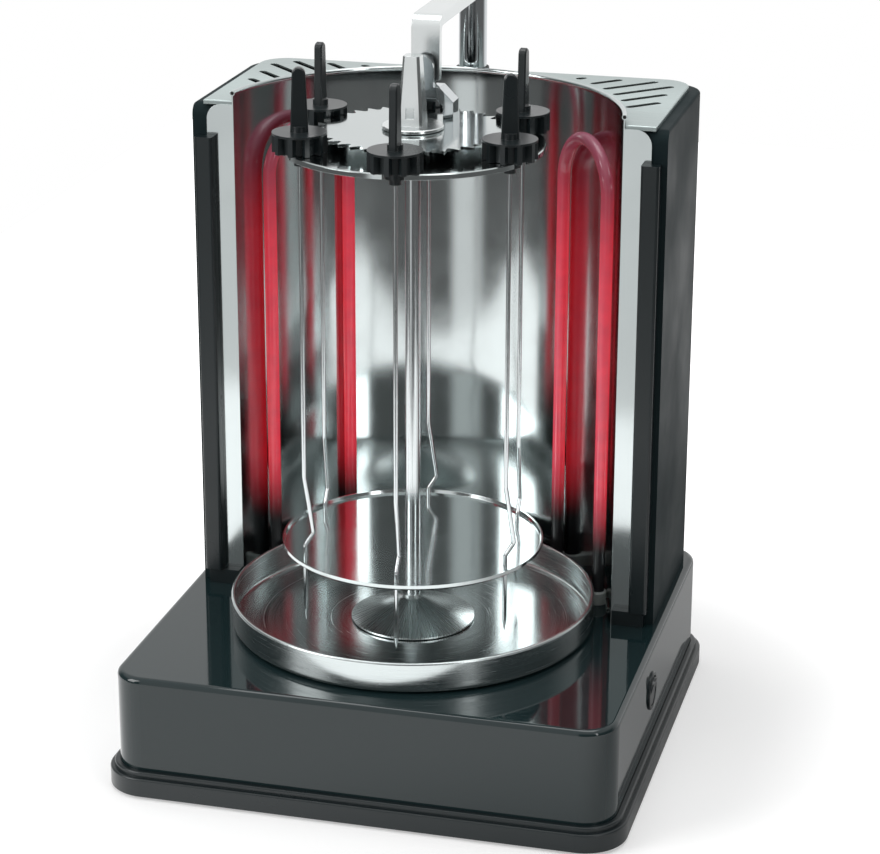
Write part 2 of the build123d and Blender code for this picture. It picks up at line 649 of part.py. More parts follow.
def arm_bar():
    """Flat bar from the post's eye, bent down in front to a tongue."""
    top = ARM_LOW + ARM_THICK
    side = Polyline(
        (0, ARM_Y, ARM_LOW), (0, ARM_Y, top), (0, ARM_FRONT, top), (0, ARM_FRONT, ARM_DROP_LOW),
        (0, ARM_FRONT + ARM_DROP_THICK, ARM_DROP_LOW), (0, ARM_FRONT + ARM_DROP_THICK, ARM_LOW), close=True,
    )
    bar = extrude(make_face(side), ARM_WIDTH / 2, both=True)
    outer = bar.edges().filter_by(Axis.X).group_by(Axis.Y)[0].sort_by(Axis.Z)[-1]
    bar = fillet(outer, ARM_BEND)
    across = bar.edges().filter_by(Axis.X)
    under = across.filter_by_position(Axis.Y, TONGUE_Y, ARM_Y - ARM_EYE)
    inner = under.filter_by_position(Axis.Z, ARM_DROP_LOW + ARM_BEND, ARM_LOW + ARM_THICK / 2)
    bar = fillet(inner, ARM_BEND - ARM_DROP_THICK)
    bar += Pos(0, ARM_Y, 0) * disc(ARM_EYE, ARM_LOW, top)
    tongue_top = Pos(0, TONGUE_Y, ARM_DROP_LOW) * Rectangle(TONGUE_TOP_WIDTH, ARM_DROP_THICK)
    tongue_low = Pos(0, TONGUE_Y, YOKE_TOP) * Rectangle(TONGUE_WIDTH, TONGUE_THICK)
    bar += loft([tongue_low, tongue_top], ruled=True)
    bar += Pos(0, TONGUE_Y, YOKE_TOP - TONGUE_DROP) * Box(TONGUE_WIDTH, TONGUE_THICK, TONGUE_DROP, align=UP)
    return bar - Pos(0, ARM_Y, 0) * disc(ARM_SPIGOT + PUSH_FIT, ARM_LOW, top)


def arm_cap():
    """Domed nut over the arm's eye."""
    top = ARM_LOW + ARM_THICK
    cap = Pos(0, ARM_Y, 0) * disc(CAP_RADIUS, top, top + CAP_HEIGHT)
    return fillet(top_edges(cap), CAP_DOME)


def arm_guide():
    """Tube under the top plate that the post slides in."""
    tube = ring(GUIDE_RADIUS, ARM_POST + GUIDE_FIT, GUIDE_LOW, PLATE_LOW)
    flange = Box(2 * GUIDE_FLANGE, 2 * GUIDE_RADIUS, PLATE_SHEET)
    flange = Pos(0, 0, PLATE_LOW - PLATE_SHEET / 2) * flange - disc(GUIDE_RADIUS, GUIDE_LOW, PLATE_LOW)
    return Pos(0, ARM_Y, 0) * (tube + flange)


def arm_ring():
    """Rubber ring round the post's foot."""
    sleeve = ring(GUIDE_RADIUS, ARM_POST + GUIDE_FIT, PLATE_LOW, RING_TOP)
    rim = sleeve.edges().filter_by(GeomType.CIRCLE).sort_by(Axis.Z)[-2:].sort_by(SortBy.LENGTH)[-1]
    return Pos(0, ARM_Y, 0) * fillet(rim, RING_ROUND)


# ---- tower ----
def wall_cylinder(radius, low, high):
    """Upright round solid about the reflector's own centre."""
    return Pos(0, WALL_Y, 0) * disc(radius, low, high)


def in_front(y):
    """Everything in front of a plane, as a big block to cut with."""
    return brick(-BODY_WIDTH, BODY_WIDTH, -BODY_WIDTH, y, 0, 2 * TOWER_TOP)


def nose_cut(front):
    """What lies above the rounded top front corner of the tower's side view."""
    block = brick(-TOWER_HALF, TOWER_HALF, front, front + TOWER_NOSE, TOWER_TOP - TOWER_NOSE, TOWER_TOP)
    centre = Pos(0, front + TOWER_NOSE, TOWER_TOP - TOWER_NOSE)
    bar = centre * Rot(0, 90, 0) * Cylinder(TOWER_NOSE, 4 * TOWER_HALF)
    return block - bar


def tower_shell():
    """Black outer wall of the tower with front returns, a ledge for the plate and rear vents."""
    inner_corner = TOWER_CORNER - TOWER_WALL
    inner_half, inner_back = TOWER_HALF - TOWER_WALL, TOWER_BACK - TOWER_WALL
    shell = tower_block(TOWER_HALF, TOWER_FRONT, TOWER_BACK, BODY_TOP, TOWER_TOP, TOWER_CORNER)
    shell = fillet(top_edges(shell), TOWER_EDGE)
    inner_front, opening, rear_ledge = TOWER_FRONT + TOWER_WALL, TOWER_HALF - TOWER_RETURN, LEDGE_WIDTH / 2
    shell -= tower_block(inner_half, inner_front, inner_back, BODY_TOP, TOWER_TOP, inner_corner)
    shell -= brick(-opening, opening, 0, inner_front, 0, TOWER_TOP)
    ledge = tower_block(inner_half, inner_front, inner_back, PLATE_LOW - LEDGE_THICK, PLATE_LOW, inner_corner)
    ledge -= tower_block(
        inner_half - LEDGE_WIDTH, 0, inner_back - rear_ledge, 0, TOWER_TOP, inner_corner - rear_ledge)
    ledge -= wall_cylinder(WALL_RADIUS + WALL_SHEET + PLATE_FIT, 0, TOWER_TOP)
    shell += ledge - brick(-GUIDE_FLANGE - PLATE_FIT, GUIDE_FLANGE + PLATE_FIT, 0, inner_back, 0, PLATE_LOW)
    shell -= nose_cut(TOWER_FRONT)
    slot = SlotOverall(TOWER_VENT_HEIGHT, TOWER_VENT_WIDTH, rotation=90)
    vent = Rot(90, 0, 0) * extrude(slot, 4 * TOWER_WALL)
    for i in range(TOWER_VENTS):
        x = (i - (TOWER_VENTS - 1) / 2) * TOWER_VENT_PITCH
        shell -= Pos(x, TOWER_BACK + 2 * TOWER_WALL, TOWER_VENT_TOP - TOWER_VENT_HEIGHT / 2) * vent
    return shell


def reflector():
    """Bright half-round wall with a rolled rim and a flat flange down each front edge."""
    sheet = wall_cylinder(WALL_RADIUS + WALL_SHEET, BODY_TOP, WALL_RIM - WALL_BEAD)
    sheet -= wall_cylinder(WALL_RADIUS, BODY_TOP, WALL_RIM)
    bead = Pos(0, WALL_Y, WALL_RIM - WALL_BEAD) * Torus(WALL_RADIUS + WALL_SHEET / 2, WALL_BEAD)
    sheet = sheet + bead - in_front(FLANGE_FACE)
    reach = math.sqrt(WALL_RADIUS ** 2 - (FLANGE_FACE - WALL_Y) ** 2)
    for side in (-1, 1):
        low, high = sorted((side * reach, side * FLANGE_OUT))
        flange = brick(low, high, FLANGE_FACE, TOWER_FRONT, BODY_TOP, FLANGE_TOP)
        corner = flange.edges().filter_by(Axis.Y).sort_by(Axis.Z)[-2:].sort_by(Axis.X)
        flange = fillet(corner[-1] if side > 0 else corner[0], FLANGE_CORNER)
        sheet += flange - wall_cylinder(WALL_RADIUS, 0, TOWER_TOP)
    return sheet


def vent_slots():
    """Diagonal slots in the top plate's right rear corner, longest at the corner."""
    slots = []
    edge_x, edge_y = PLATE_HALF - SLOT_EDGE_GAP, PLATE_BACK - SLOT_EDGE_GAP
    for i in range(SLOTS):
        off = (SLOT_FIRST - i * SLOT_PITCH) / math.sqrt(2)
        rim = WALL_RADIUS + SLOT_RIM_GAP + i * SLOT_RIM_STEP
        # The slot's line runs through (off + t, t - off); its inner end is "rim" from the reflector's centre.
        b, c = WALL_Y / 2, off ** 2 + off * WALL_Y + (WALL_Y ** 2 - rim ** 2) / 2
        inner = b + math.sqrt(max(b * b - c, 0))
        outer = min(edge_x - off, edge_y + off)
        length = (outer - inner) * math.sqrt(2)
        if length < SLOT_WIDTH:
            continue
        middle = (inner + outer) / 2
        slots.append(Pos(off + middle, middle - off) * SlotOverall(length, SLOT_WIDTH, rotation=45))
    return slots


def top_plate():
    """Satin pressed plate with a turned-down edge, slotted at both rear corners."""
    half, s = PLATE_HALF, PLATE_SHEET
    plate = tower_block(half, TOWER_FRONT, PLATE_BACK, PLATE_LOW, PLATE_TOP, PLATE_CORNER)
    plate = fillet(top_edges(plate), PLATE_EDGE)
    inner_corner = PLATE_CORNER - s
    plate -= tower_block(half - s, TOWER_FRONT + s, PLATE_BACK - s, PLATE_LOW, PLATE_TOP - s, inner_corner)
    plate -= wall_cylinder(WALL_RADIUS + WALL_SHEET + PLATE_FIT, PLATE_LOW, PLATE_TOP)
    plate -= Pos(0, ARM_Y, 0) * disc(GUIDE_RADIUS, PLATE_LOW, PLATE_TOP)
    for slot in vent_slots():
        cut = Pos(0, 0, PLATE_LOW) * extrude(slot, PLATE_HEIGHT)
        plate = plate - cut - mirror(cut, Plane.YZ)
    return plate


def trim_strip(side):
    """Black upright strip over the outer part of a front flange, on a recessed foot across the flange."""
    low, high = sorted((side * STRIP_OUTER, side * (STRIP_OUTER - STRIP_WIDTH)))
    strip = brick(low, high, FLANGE_FACE - STRIP_DEPTH, FLANGE_FACE, STRIP_LOW, STRIP_TOP)
    front = strip.edges().filter_by(Axis.Z).sort_by(Axis.Y)[:2]
    strip = fillet(front, STRIP_ROUND)
    low, high = sorted((side * (STRIP_OUTER - STRIP_FOOT_INSET), side * WALL_RADIUS))
    foot_front = FLANGE_FACE - STRIP_DEPTH + STRIP_FOOT_INSET
    return strip + brick(low, high, foot_front, FLANGE_FACE, BODY_TOP, STRIP_LOW)


# ---- heaters ----
def heater_feet():
    """Plan points of the four heater legs, right then left."""
    feet = []
    for side in (1, -1):
        for angle in HEATER_ANGLES:
            a = math.radians(angle)
            feet.append((side * HEATER_CIRCLE * math.cos(a), WALL_Y + HEATER_CIRCLE * math.sin(a)))
    return feet


def heater(first, second):
    """Inverted-U tube: two upright legs joined by a half-round arch."""
    (x0, y0), (x1, y1) = first, second
    bend = math.dist(first, second) / 2
    spring = HEATER_TOP - HEATER_RADIUS - bend
    rise = Line((x0, y0, HEATER_LOW), (x0, y0, spring))
    arch = ThreePointArc(rise @ 1, ((x0 + x1) / 2, (y0 + y1) / 2, spring + bend), (x1, y1, spring))
    drop = Line(arch @ 1, (x1, y1, HEATER_LOW))
    return sweep(Pos(x0, y0, HEATER_LOW) * Circle(HEATER_RADIUS), path=Wire([rise, arch, drop]))


def heater_bushes():
    """Four pale ceramic bushes where the heater legs pass into the base."""
    bore = HEATER_RADIUS + PUSH_FIT
    lip = ring(BUSH_RADIUS, bore, BODY_TOP, BODY_TOP + BUSH_HEIGHT)
    mouth = lip.edges().filter_by(GeomType.CIRCLE).sort_by(Axis.Z)[-2:]
    lip = chamfer(mouth.sort_by(SortBy.LENGTH)[-1], BUSH_LIP)
    body = ring(HEATER_HOLE - PUSH_FIT, bore, CEILING - BUSH_HEIGHT / 2, BODY_TOP)
    return Compound([Pos(x, y, 0) * (lip + body) for x, y in heater_feet()])


# ---- tray ----
def drip_tray():
    """Round lift-out tray with a rolled rim and a collar round the drive."""
    r, s = TRAY_RADIUS, TRAY_SHEET
    tray = disc(r, BODY_TOP, TRAY_RIM - TRAY_BEAD)
    tray = fillet(tray.edges().sort_by(Axis.Z)[0], TRAY_CORNER)
    hollow = disc(r - s, TRAY_FLOOR, TRAY_RIM)
    hollow = fillet(hollow.edges().sort_by(Axis.Z)[0], TRAY_CORNER - s)
    tray -= hollow
    tray += Pos(0, 0, TRAY_RIM - TRAY_BEAD) * Torus(r - TRAY_BEAD, TRAY_BEAD)
    tray += ring(TRAY_COLLAR, TRAY_COLLAR - s, BODY_TOP, TRAY_COLLAR_TOP)
    return tray - disc(TRAY_COLLAR - s, 0, TRAY_COLLAR_TOP)


# ---- switch and electrics ----
def on_right_wall(shape):
    """Brings a shape whose +Z points out of the wall to the switch's place."""
    return Pos(BODY_HALF, SWITCH_Y, SWITCH_Z) * Rot(0, 90, 0) * shape


def switch_case():
    """Round snap-in case with a thin bezel, sockets for the rocker's pins and three blades behind."""
    bezel = disc(BEZEL_RADIUS, 0, BEZEL_THICK)
    bezel = chamfer(top_edges(bezel), BEZEL_EDGE)
    case = bezel + disc(SWITCH_BODY, -SWITCH_DEPTH, 0)
    case -= disc(ROCKER_BORE, -ROCKER_ROOM, BEZEL_THICK)
    case -= Rot(90, 0, 0) * Cylinder(ROCKER_PIN + SWITCH_FIT, 2 * ROCKER_PIN_END)
    for i in range(3):
        blade = Box(BLADE_WIDTH, BLADE_THICK, BLADE_LENGTH, align=UP)
        case += Pos(0, (i - 1) * BLADE_PITCH, -SWITCH_DEPTH - BLADE_LENGTH) * Rot(0, 0, 90) * blade
    return on_right_wall(case)


def switch_rocker():
    """Round rocker with a dished face, tilted to its off position on two pins."""
    half = ROCKER_RADIUS
    side = Polyline(
        (-half, 0, -ROCKER_BACK), (half, 0, -ROCKER_BACK), (half, 0, ROCKER_END), (0, 0, ROCKER_DIP),
        (-half, 0, ROCKER_END), close=True,
    )
    rocker = extrude(make_face(side), half, both=True) & disc(half, -ROCKER_BACK, ROCKER_END)
    rocker += Rot(90, 0, 0) * Cylinder(ROCKER_PIN, 2 * (ROCKER_PIN_END - SWITCH_FIT))
    return on_right_wall(Rot(0, SWITCH_TILT_ANGLE, 0) * rocker)


def cord_gland():
    """Hollow rubber gland in the back wall."""
    body = ring(GLAND_FLANGE, GLAND_BORE, 0, GLAND_FLANGE_THICK)
    body += ring(GLAND_BODY, GLAND_BORE, 0, GLAND_OUT)
    body += ring(GLAND_BODY - PUSH_FIT, GLAND_BORE, -GLAND_IN, 0)
    body += ring(GLAND_FLANGE, GLAND_BORE, -2 * BODY_WALL, -BODY_WALL)
    return Pos(GLAND_X, BODY_BACK, GLAND_Z) * Rot(-90, 0, 0) * body


def terminal_block():
    """Three-way terminal block on the floor behind the gland."""
    block = Box(BLOCK_LENGTH, BLOCK_DEPTH, BLOCK_HEIGHT, align=UP)
    for i in range(3):
        x = (i - 1) * BLOCK_LENGTH / 3
        block -= Pos(x, 0, BLOCK_HEIGHT / 2) * disc(2 * SCREW_SHANK, 0, BLOCK_HEIGHT)
        block -= Pos(x, 0, BLOCK_HEIGHT / 3) * Rot(90, 0, 0) * Cylinder(SCREW_SHANK, 2 * BLOCK_DEPTH)
    return Pos(GLAND_X, BODY_BACK - 2 * GLAND_IN - BLOCK_DEPTH, FLOOR_TOP) * block


def heat_cutout():
    """Disc thermostat held against the underside of the cover."""
    body = disc(CUTOUT_RADIUS, CEILING - CUTOUT_HEIGHT, CEILING)
    body += disc(CUTOUT_RIM, CEILING - SCREW_HEAD_THICK, CEILING)
    tab = Box(SCREW_SHANK, 2 * SCREW_HEAD, CUTOUT_HEIGHT, align=UP)
    for side in (-1, 1):
        body += Pos(side * CUTOUT_RADIUS / 2, 0, CEILING - CUTOUT_TAB_DROP) * tab
    return Pos(CUTOUT_X, CUTOUT_Y, 0) * body


# ---- placing ----
def pinion_turn(at):
    """Angle that brings a head's gear into mesh with the large gear at a given angle."""
    step = FULL_TURN_ANGLE / SUN_TEETH
    lead = (SUN_PHASE_ANGLE - at) % step
    ratio = SUN_TEETH / PINION_TEETH
    return at + FULL_TURN_ANGLE / 2 - lead * ratio + FULL_TURN_ANGLE / (2 * PINION_TEETH)


def skewer_nodes():
    """Rods and heads at their places on the discs, in mesh with the large gear."""
    nodes = {}
    for k in range(SKEWERS):
        at = SKEWER_START_ANGLE + FULL_TURN_ANGLE * k / SKEWERS
        a = math.radians(at)
        place = Pos(SKEWER_CIRCLE * math.cos(a), SKEWER_CIRCLE * math.sin(a), 0) * Rot(0, 0, pinion_turn(at))
        step = FULL_TURN_ANGLE / PINION_TEETH
        wanted = HANDLE_FACE_ANGLE if k % 2 else HANDLE_EDGE_ANGLE
        tooth = round((wanted - pinion_turn(at)) / step) * step
        nodes[f"skewer_rod_{k + 1}"] = place * Rot(0, 0, tooth) * skewer_rod()
        nodes[f"skewer_head_{k + 1}"] = place * Rot(0, 0, tooth) * skewer_head()
    return nodes


def all_nodes():
    """Every node by name, set out from the spit axis."""
    feet = heater_feet()
    nodes = {
        "base_floor": base_floor(), "base_housing": base_housing(), "base_feet": base_feet(),
        "floor_screws": floor_screws(), "drive_motor": drive_motor(), "motor_screws": motor_screws(),
        "drive_coupling": drive_coupling(), "spit_shaft": spit_shaft(), "drip_cone": drip_cone(),
        "lower_disc": lower_disc(), "upper_disc": upper_disc(), "spit_hub": spit_hub(),
        "hub_collar": hub_collar(), "sun_gear": sun_gear(), "gear_yoke": gear_yoke(),
        "arm_post": arm_post(), "arm_bar": arm_bar(),
        "arm_cap": arm_cap(), "arm_guide": arm_guide(), "arm_ring": arm_ring(), "tower_shell": tower_shell(),
        "reflector": reflector(), "top_plate": top_plate(), "trim_strip_right": trim_strip(1),
        "trim_strip_left": trim_strip(-1), "heater_right": heater(feet[0], feet[1]),
        "heater_left": heater(feet[2], feet[3]), "heater_bushes": heater_bushes(), "drip_tray": drip_tray(),
        "switch_case": switch_case(), "switch_rocker": switch_rocker(),
        "cord_gland": cord_gland(), "terminal_block": terminal_block(), "heat_cutout": heat_cutout(),
    }
    nodes.update(skewer_nodes())
    return nodes


os.makedirs("parts", exist_ok=True)
for node_name, node_shape in all_nodes().items():
    export_step(ROW * node_shape, f"parts/{node_name}.step")
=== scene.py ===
"""Looks of the electric skewer grill: its finishes, small visual parts, studio and camera.

All lengths are metres in the row frame unless a name ends in _mm or _px.
"""
import logging
import math
from dataclasses import dataclass
from enum import Enum

import bmesh
import bpy
from mathutils import Matrix, Vector


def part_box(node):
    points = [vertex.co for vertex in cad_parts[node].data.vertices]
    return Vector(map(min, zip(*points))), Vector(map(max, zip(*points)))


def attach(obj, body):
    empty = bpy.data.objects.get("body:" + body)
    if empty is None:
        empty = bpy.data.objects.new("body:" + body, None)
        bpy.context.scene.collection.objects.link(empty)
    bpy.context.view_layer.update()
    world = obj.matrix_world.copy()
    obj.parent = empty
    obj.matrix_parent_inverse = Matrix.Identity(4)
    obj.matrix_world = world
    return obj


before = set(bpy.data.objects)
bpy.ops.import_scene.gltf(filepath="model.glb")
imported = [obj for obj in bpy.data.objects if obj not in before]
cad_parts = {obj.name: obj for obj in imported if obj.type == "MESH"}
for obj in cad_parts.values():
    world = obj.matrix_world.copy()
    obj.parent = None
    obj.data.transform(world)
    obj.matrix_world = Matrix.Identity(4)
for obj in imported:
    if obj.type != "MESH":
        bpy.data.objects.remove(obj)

LOG = logging.getLogger("skewer_grill")
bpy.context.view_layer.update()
MM = 0.001
SHAFT_LOW, SHAFT_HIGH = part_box("spit_shaft")
SPIT_X = (SHAFT_LOW.x + SHAFT_HIGH.x) / 2
SPIT_Y = (SHAFT_LOW.y + SHAFT_HIGH.y) / 2
WHITE = (1.0, 1.0, 1.0, 1.0)
SMOOTH = {"interpolation_type": "SMOOTHSTEP"}
# Noise seldom leaves this middle range, which is stretched to the whole of a pattern.
NOISE_LOW, NOISE_HIGH = 0.3, 0.7
# Points nearer the axis than this, in metres, close a turned shape.
ON_AXIS = 1e-7
SHARP_ANGLE = 35
SMALL_SIDES = 24
# A screw head's rise and the end of its dome, as shares of its radius.
HEAD_RISE, DOME_END = 0.42, 0.36
HEAD_SINK = 0.4 * MM
# Its dimple: each point's share of the radius and of the rise.
DIMPLE = ((0.34, 0.9), (0.2, 0.35), (0.0, 0.3))


# ---------------------------------------------------------------- node helpers
def linear(colour: str) -> tuple[float, float, float, float]:
    """Turn an sRGB hex colour into linear RGBA.

    Args:
        colour: Six hex digits, with or without a leading hash.

    Returns:
        Linear red, green, blue and an alpha of one.
    """
    digits = colour.lstrip("#")
    values = [int(digits[i:i + 2], 16) / 255 for i in (0, 2, 4)]
    channels = [v / 12.92 if v <= 0.04045 else ((v + 0.055) / 1.055) ** 2.4 for v in values]
    return (*channels, 1.0)


def add_node(tree: bpy.types.NodeTree, kind: str, settings: dict | None = None,
             inputs: dict | None = None) -> bpy.types.Node:
    """Add one node with its settings and links.

    Args:
        tree: The node tree that gets the node.
        kind: Blender's name for the node type.
        settings: Attribute names and values.
        inputs: Input names or numbers, each with a plain value or an output socket to link.

    Returns:
        The new node.
    """
    node = tree.nodes.new(kind)
    for key, value in (settings or {}).items():
        setattr(node, key, value)
    for key, value in (inputs or {}).items():
        if isinstance(value, bpy.types.NodeSocket):
            tree.links.new(value, node.inputs[key])
        else:
            node.inputs[key].default_value = value
    return node


# ---------------------------------------------------------------- finishes
class Lay(Enum):
    """Which way the brush marks of a metal run."""

    RINGS = "rings about the spit"
    SPOKES = "outward from the spit"
    ACROSS = "along X"
    UPRIGHT = "up and down"


@dataclass(frozen=True)
class Finish:
    """A surface finish; subclasses add the pattern of one real material."""

    name: str
    colour: str
    roughness: float
    metallic: float = 0.0
    edge_mm: float = 0.25
    specular: float = 0.5

    def build(self) -> bpy.types.Material:
        """Make the material.

        Returns:
            A material with this finish's shader.
        """
        material = bpy.data.materials.new(self.name)
        material.use_nodes = True
        tree = material.node_tree
        shader = tree.nodes["Principled BSDF"]
        shader.inputs["Base Color"].default_value = linear(self.colour)
        shader.inputs["Roughness"].default_value = self.roughness
        shader.inputs["Metallic"].default_value = self.metallic
        shader.inputs["Specular IOR Level"].default_value = self.specular
        self.pattern(tree, shader)
        return material

    def pattern(self, tree: bpy.types.NodeTree, shader: bpy.types.Node) -> None:
        """Add the finish's own texture.

        Args:
            tree: The material's node tree.
            shader: Its principled shader.

        Raises:
            NotImplementedError: Always here, because each subclass has its own texture.
        """
        raise NotImplementedError

    def bump(self, tree: bpy.types.NodeTree, shader: bpy.types.Node,
             height: bpy.types.NodeSocket, depth_mm: float) -> None:
        """Round the edges a little and add relief.

        Args:
            tree: The material's node tree.
            shader: Its principled shader.
            height: Relief from 0 to 1.
            depth_mm: Depth of the relief.
        """
        soft = add_node(tree, "ShaderNodeBevel", {"samples": 4}, {"Radius": self.edge_mm * MM})
        relief = add_node(tree, "ShaderNodeBump", {}, {"Height": height, "Distance": depth_mm * MM,
                                                       "Normal": soft.outputs["Normal"]})
        tree.links.new(relief.outputs["Normal"], shader.inputs["Normal"])

    def noise(self, tree: bpy.types.NodeTree, size_mm: float, detail: float = 3.0,
              vector: bpy.types.NodeSocket | None = None) -> bpy.types.NodeSocket:
        """Noise whose features have a real size.

        Args:
            tree: The material's node tree.
            size_mm: Size of one feature.
            detail: Octaves of finer noise.
            vector: Coordinates in metres; the object's own if None.

        Returns:
            The noise value, from 0 to 1.
        """
        if vector is None:
            vector = add_node(tree, "ShaderNodeTexCoord").outputs["Object"]
        made = add_node(tree, "ShaderNodeTexNoise", {},
                        {"Vector": vector, "Scale": 1 / (size_mm * MM), "Detail": detail})
        return made.outputs["Fac"]

    def spread(self, tree: bpy.types.NodeTree, value: bpy.types.NodeSocket, low: float,
               high: float) -> bpy.types.NodeSocket:
        """Map noise about its middle to a range.

        Args:
            tree: The material's node tree.
            value: Noise from 0 to 1.
            low: Result where the noise is low.
            high: Result where it is high.

        Returns:
            The mapped value.
        """
        inputs = {"Value": value, "From Min": NOISE_LOW, "From Max": NOISE_HIGH,
                  "To Min": low, "To Max": high}
        return add_node(tree, "ShaderNodeMapRange", {}, inputs).outputs["Result"]


@dataclass(frozen=True)
class GrainySkin(Finish):
    """Moulded, enamelled or pressed skin: faint grain, with handling smears in its gloss."""

    grain_mm: float = 0.8
    depth_mm: float = 0.01
    smear_mm: float = 60.0
    clean: float = 0.85
    smeared: float = 1.25

    def pattern(self, tree: bpy.types.NodeTree, shader: bpy.types.Node) -> None:
        """Add grain as relief and smears as roughness.

        Args:
            tree: The material's node tree.
            shader: Its principled shader.
        """
        smear = self.noise(tree, self.smear_mm, 4.0)
        rough = self.spread(tree, smear, self.roughness * self.clean, self.roughness * self.smeared)
        tree.links.new(rough, shader.inputs["Roughness"])
        self.bump(tree, shader, self.noise(tree, self.grain_mm, 2.0), self.depth_mm)


@dataclass(frozen=True)
class PolishedSteel(Finish):
    """Mirror-polished stainless sheet or chrome: slow waviness and a breath of haze."""

    wave_mm: float = 45.0
    wave_depth_mm: float = 0.08
    haze: float = 0.05
    haze_mm: float = 22.0

    def pattern(self, tree: bpy.types.NodeTree, shader: bpy.types.Node) -> None:
        """Bend the reflections by slow waviness and vary the roughness by haze.

        Args:
            tree: The material's node tree.
            shader: Its principled shader.
        """
        haze = self.noise(tree, self.haze_mm, 5.0)
        rough = self.spread(tree, haze, self.roughness, self.roughness + self.haze)
        tree.links.new(rough, shader.inputs["Roughness"])
        self.bump(tree, shader, self.noise(tree, self.wave_mm, 1.0), self.wave_depth_mm)


@dataclass(frozen=True)
class BrushedSteel(Finish):
    """Brushed stainless: fine parallel scratches that stretch the highlights."""

    lay: Lay = Lay.RINGS
    scratch_mm: float = 0.5
    depth_mm: float = 0.012
    stretch: float = 0.6
    spoke_radius_mm: float = 20.0
    along: float = 0.02
    between: float = 0.7
    scratched: float = 1.4

    def pattern(self, tree: bpy.types.NodeTree, shader: bpy.types.Node) -> None:
        """Add scratches as noise squeezed across the lay; real ones of 0.05 mm are drawn coarser.

        Args:
            tree: The material's node tree.
            shader: Its principled shader.
        """
        place = add_node(tree, "ShaderNodeTexCoord").outputs["Object"]
        lines = self.noise(tree, self.scratch_mm, 3.0, self.squeezed(tree, place))
        rough = self.spread(tree, lines, self.roughness * self.between, self.roughness * self.scratched)
        tree.links.new(rough, shader.inputs["Roughness"])
        shader.inputs["Anisotropic"].default_value = self.stretch
        if self.lay is Lay.RINGS:
            tangent = add_node(tree, "ShaderNodeTangent", {"direction_type": "RADIAL", "axis": "Z"})
            tree.links.new(tangent.outputs["Tangent"], shader.inputs["Tangent"])
        self.bump(tree, shader, lines, self.depth_mm)

    def squeezed(self, tree: bpy.types.NodeTree, place: bpy.types.NodeSocket) -> bpy.types.NodeSocket:
        """Coordinates that vary slowly along the brush marks.

        Args:
            tree: The material's node tree.
            place: Object coordinates in metres.

        Returns:
            The coordinates to give the noise.
        """
        straight = {Lay.ACROSS: (self.along, 1.0, 1.0), Lay.UPRIGHT: (1.0, 1.0, self.along)}
        if self.lay in straight:
            return add_node(tree, "ShaderNodeVectorMath", {"operation": "MULTIPLY"},
                            {0: place, 1: straight[self.lay]}).outputs["Vector"]
        centred = add_node(tree, "ShaderNodeVectorMath", {"operation": "SUBTRACT"},
                           {0: place, 1: (SPIT_X, SPIT_Y, 0.0)}).outputs["Vector"]
        split = add_node(tree, "ShaderNodeSeparateXYZ", {}, {"Vector": centred})
        if self.lay is Lay.SPOKES:
            angle = add_node(tree, "ShaderNodeMath", {"operation": "ARCTAN2"},
                             {0: split.outputs["Y"], 1: split.outputs["X"]}).outputs["Value"]
            arc = add_node(tree, "ShaderNodeMath", {"operation": "MULTIPLY"},
                           {0: angle, 1: self.spoke_radius_mm * MM}).outputs["Value"]
            return add_node(tree, "ShaderNodeCombineXYZ", {}, {"X": arc}).outputs["Vector"]
        flat = add_node(tree, "ShaderNodeVectorMath", {"operation": "MULTIPLY"},
                        {0: centred, 1: (1.0, 1.0, 0.0)}).outputs["Vector"]
        radius = add_node(tree, "ShaderNodeVectorMath", {"operation": "LENGTH"}, {0: flat}).outputs["Value"]
        turn = add_node(tree, "ShaderNodeMath", {"operation": "MULTIPLY"},
                        {0: split.outputs["X"], 1: self.along}).outputs["Value"]
        return add_node(tree, "ShaderNodeCombineXYZ", {},
                        {"X": radius, "Y": turn, "Z": split.outputs["Z"]}).outputs["Vector"]


